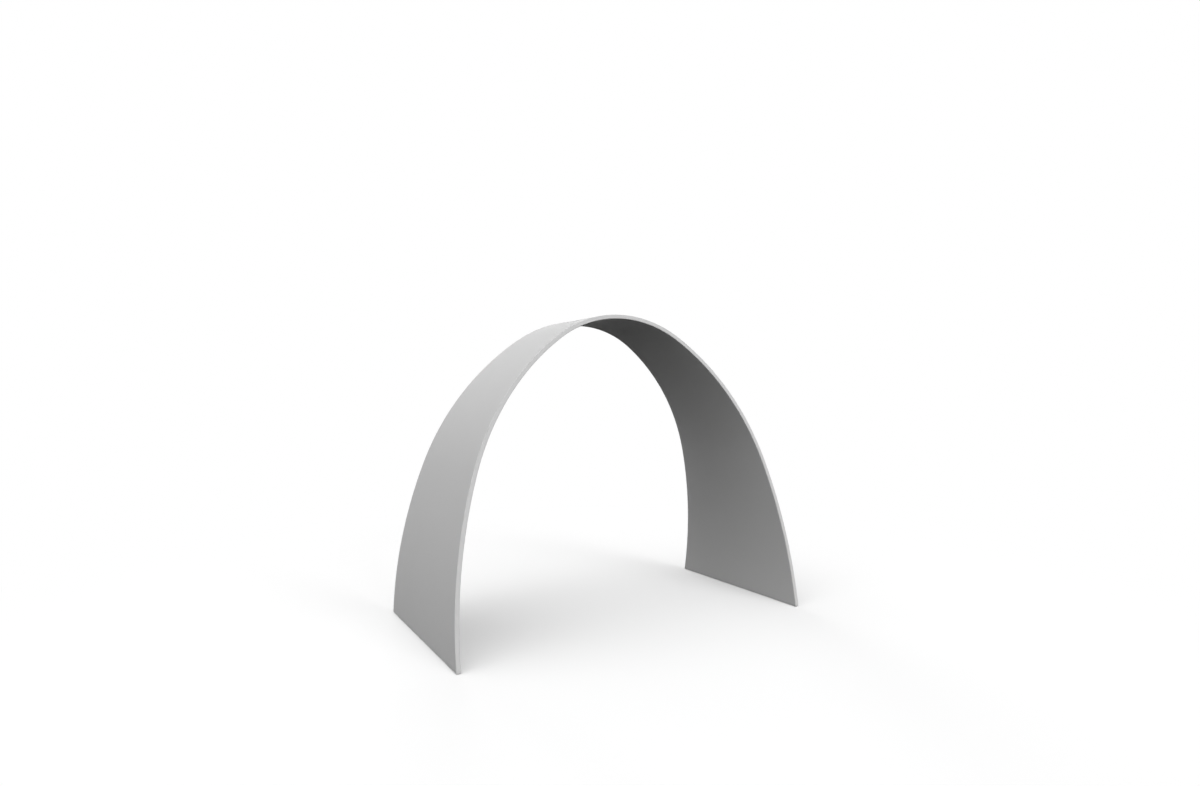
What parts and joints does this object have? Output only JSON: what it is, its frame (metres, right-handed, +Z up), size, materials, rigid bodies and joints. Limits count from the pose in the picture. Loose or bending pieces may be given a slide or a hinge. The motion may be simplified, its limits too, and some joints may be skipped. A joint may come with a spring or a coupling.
{
  "type": "fabric display arch",
  "caption": "Free-standing walk-through arch of stretch fabric over a knock-down square-tube frame that tapers in depth from the floor to the crown.",
  "frame": {"origin": "middle of the footprint, on the floor", "axes": "+X to the right across the arch, +Y from the front face to the back face, +Z up"},
  "size_m": [3, 1.5546, 2.4211],
  "materials": {
    "cover_fabric": "matte",
    "tube_aluminium": "satin",
    "joiner_aluminium": "satin",
    "elbow_casting": "matte",
    "rivet_aluminium": "satin",
    "button_steel": "satin",
    "spring_steel": "satin",
    "screw_steel": "satin",
    "glide_nylon": "matte",
    "zip_tape": "matte",
    "zip_metal": "satin"
  },
  "bodies": {
    "arch": {"front_right_leg": "tube_aluminium", "front_left_leg": "tube_aluminium", "back_right_leg": "tube_aluminium", "back_left_leg": "tube_aluminium", "front_right_shoulder": "tube_aluminium", "front_left_shoulder": "tube_aluminium", "back_right_shoulder": "tube_aluminium", "back_left_shoulder": "tube_aluminium", "front_crown": "tube_aluminium", "back_crown": "tube_aluminium", "right_base_bar": "tube_aluminium", "left_base_bar": "tube_aluminium", "right_shoulder_bar": "tube_aluminium", "left_shoulder_bar": "tube_aluminium", "crown_bar": "tube_aluminium", "front_right_elbow": "elbow_casting", "front_left_elbow": "elbow_casting", "back_right_elbow": "elbow_casting", "back_left_elbow": "elbow_casting", "front_joiners": "joiner_aluminium", "back_joiners": "joiner_aluminium", "front_bar_stubs": "joiner_aluminium", "back_bar_stubs": "joiner_aluminium", "rivets": "rivet_aluminium", "frame_button_springs": "spring_steel", "bar_button_springs": "spring_steel", "foot_glides": "glide_nylon", "glide_screws": "screw_steel", "cover_outer": "cover_fabric", "cover_inner": "cover_fabric", "cover_front_edge": "cover_fabric", "cover_back_edge": "cover_fabric", "right_zip": "zip_tape", "left_zip": "zip_tape"},
    "front_right_leg_button": {"front_right_leg_button": "button_steel"},
    "front_left_leg_button": {"front_left_leg_button": "button_steel"},
    "back_right_leg_button": {"back_right_leg_button": "button_steel"},
    "back_left_leg_button": {"back_left_leg_button": "button_steel"},
    "front_right_crown_button": {"front_right_crown_button": "button_steel"},
    "front_left_crown_button": {"front_left_crown_button": "button_steel"},
    "back_right_crown_button": {"back_right_crown_button": "button_steel"},
    "back_left_crown_button": {"back_left_crown_button": "button_steel"},
    "front_right_base_bar_button": {"front_right_base_bar_button": "button_steel"},
    "front_left_base_bar_button": {"front_left_base_bar_button": "button_steel"},
    "back_right_base_bar_button": {"back_right_base_bar_button": "button_steel"},
    "back_left_base_bar_button": {"back_left_base_bar_button": "button_steel"},
    "front_right_shoulder_bar_button": {"front_right_shoulder_bar_button": "button_steel"},
    "front_left_shoulder_bar_button": {"front_left_shoulder_bar_button": "button_steel"},
    "back_right_shoulder_bar_button": {"back_right_shoulder_bar_button": "button_steel"},
    "back_left_shoulder_bar_button": {"back_left_shoulder_bar_button": "button_steel"},
    "front_crown_bar_button": {"front_crown_bar_button": "button_steel"},
    "back_crown_bar_button": {"back_crown_bar_button": "button_steel"},
    "right_zip_slider": {"right_zip_slider": "zip_metal"},
    "left_zip_slider": {"left_zip_slider": "zip_metal"},
    "right_zip_pull": {"right_zip_pull": "zip_metal"},
    "left_zip_pull": {"left_zip_pull": "zip_metal"}
  },
  "joints": [
    {"name": "front_right_leg_button_press", "type": "slide", "parent": "arch", "child": "front_right_leg_button", "axis": [0, -0.9852, 0.1716], "range_m": [0, 0.005], "stiffness_N_per_m": 1000, "springref_m": -0.002, "deforming": ["frame_button_springs"]},
    {"name": "front_right_crown_button_press", "type": "slide", "parent": "arch", "child": "front_right_crown_button", "axis": [0, -0.9852, 0.1716], "range_m": [0, 0.005], "stiffness_N_per_m": 1000, "springref_m": -0.002, "deforming": ["frame_button_springs"]},
    {"name": "front_left_leg_button_press", "type": "slide", "parent": "arch", "child": "front_left_leg_button", "axis": [0, -0.9852, 0.1716], "range_m": [0, 0.005], "stiffness_N_per_m": 1000, "springref_m": -0.002, "deforming": ["frame_button_springs"]},
    {"name": "front_left_crown_button_press", "type": "slide", "parent": "arch", "child": "front_left_crown_button", "axis": [0, -0.9852, 0.1716], "range_m": [0, 0.005], "stiffness_N_per_m": 1000, "springref_m": -0.002, "deforming": ["frame_button_springs"]},
    {"name": "back_right_leg_button_press", "type": "slide", "parent": "arch", "child": "back_right_leg_button", "axis": [0, 0.9852, 0.1716], "range_m": [0, 0.005], "stiffness_N_per_m": 1000, "springref_m": -0.002, "deforming": ["frame_button_springs"]},
    {"name": "back_right_crown_button_press", "type": "slide", "parent": "arch", "child": "back_right_crown_button", "axis": [0, 0.9852, 0.1716], "range_m": [0, 0.005], "stiffness_N_per_m": 1000, "springref_m": -0.002, "deforming": ["frame_button_springs"]},
    {"name": "back_left_leg_button_press", "type": "slide", "parent": "arch", "child": "back_left_leg_button", "axis": [0, 0.9852, 0.1716], "range_m": [0, 0.005], "stiffness_N_per_m": 1000, "springref_m": -0.002, "deforming": ["frame_button_springs"]},
    {"name": "back_left_crown_button_press", "type": "slide", "parent": "arch", "child": "back_left_crown_button", "axis": [0, 0.9852, 0.1716], "range_m": [0, 0.005], "stiffness_N_per_m": 1000, "springref_m": -0.002, "deforming": ["frame_button_springs"]},
    {"name": "front_right_base_bar_button_press", "type": "slide", "parent": "arch", "child": "front_right_base_bar_button", "axis": [0, 0, -1], "range_m": [0, 0.005], "stiffness_N_per_m": 1000, "springref_m": -0.002, "deforming": ["bar_button_springs"]},
    {"name": "front_right_shoulder_bar_button_press", "type": "slide", "parent": "arch", "child": "front_right_shoulder_bar_button", "axis": [0.6034, 0, -0.7975], "range_m": [0, 0.005], "stiffness_N_per_m": 1000, "springref_m": -0.002, "deforming": ["bar_button_springs"]},
    {"name": "front_left_base_bar_button_press", "type": "slide", "parent": "arch", "child": "front_left_base_bar_button", "axis": [0, 0, -1], "range_m": [0, 0.005], "stiffness_N_per_m": 1000, "springref_m": -0.002, "deforming": ["bar_button_springs"]},
    {"name": "front_left_shoulder_bar_button_press", "type": "slide", "parent": "arch", "child": "front_left_shoulder_bar_button", "axis": [-0.6034, 0, -0.7975], "range_m": [0, 0.005], "stiffness_N_per_m": 1000, "springref_m": -0.002, "deforming": ["bar_button_springs"]},
    {"name": "back_right_base_bar_button_press", "type": "slide", "parent": "arch", "child": "back_right_base_bar_button", "axis": [0, 0, -1], "range_m": [0, 0.005], "stiffness_N_per_m": 1000, "springref_m": -0.002, "deforming": ["bar_button_springs"]},
    {"name": "back_right_shoulder_bar_button_press", "type": "slide", "parent": "arch", "child": "back_right_shoulder_bar_button", "axis": [0.6034, 0, -0.7975], "range_m": [0, 0.005], "stiffness_N_per_m": 1000, "springref_m": -0.002, "deforming": ["bar_button_springs"]},
    {"name": "back_left_base_bar_button_press", "type": "slide", "parent": "arch", "child": "back_left_base_bar_button", "axis": [0, 0, -1], "range_m": [0, 0.005], "stiffness_N_per_m": 1000, "springref_m": -0.002, "deforming": ["bar_button_springs"]},
    {"name": "back_left_shoulder_bar_button_press", "type": "slide", "parent": "arch", "child": "back_left_shoulder_bar_button", "axis": [-0.6034, 0, -0.7975], "range_m": [0, 0.005], "stiffness_N_per_m": 1000, "springref_m": -0.002, "deforming": ["bar_button_springs"]},
    {"name": "front_crown_bar_button_press", "type": "slide", "parent": "arch", "child": "front_crown_bar_button", "axis": [1, 0, 0], "range_m": [0, 0.005], "stiffness_N_per_m": 1000, "springref_m": -0.002, "deforming": ["bar_button_springs"]},
    {"name": "back_crown_bar_button_press", "type": "slide", "parent": "arch", "child": "back_crown_bar_button", "axis": [1, 0, 0], "range_m": [0, 0.005], "stiffness_N_per_m": 1000, "springref_m": -0.002, "deforming": ["bar_button_springs"]},
    {"name": "right_zip_slide", "type": "slide", "parent": "arch", "child": "right_zip_slider", "axis": [0, 1, 0], "range_m": [0, 1.38273]},
    {"name": "right_pull_swing", "type": "hinge", "parent": "right_zip_slider", "child": "right_zip_pull", "pos_m": [1.48358, -0.69137, 0.0017], "axis": [-1, 0, 0], "range_deg": [0, 180]},
    {"name": "left_zip_slide", "type": "slide", "parent": "arch", "child": "left_zip_slider", "axis": [0, 1, 0], "range_m": [0, 1.38273]},
    {"name": "left_pull_swing", "type": "hinge", "parent": "left_zip_slider", "child": "left_zip_pull", "pos_m": [-1.48358, -0.69137, 0.0017], "axis": [-1, 0, 0], "range_deg": [0, 180]}
  ]
}
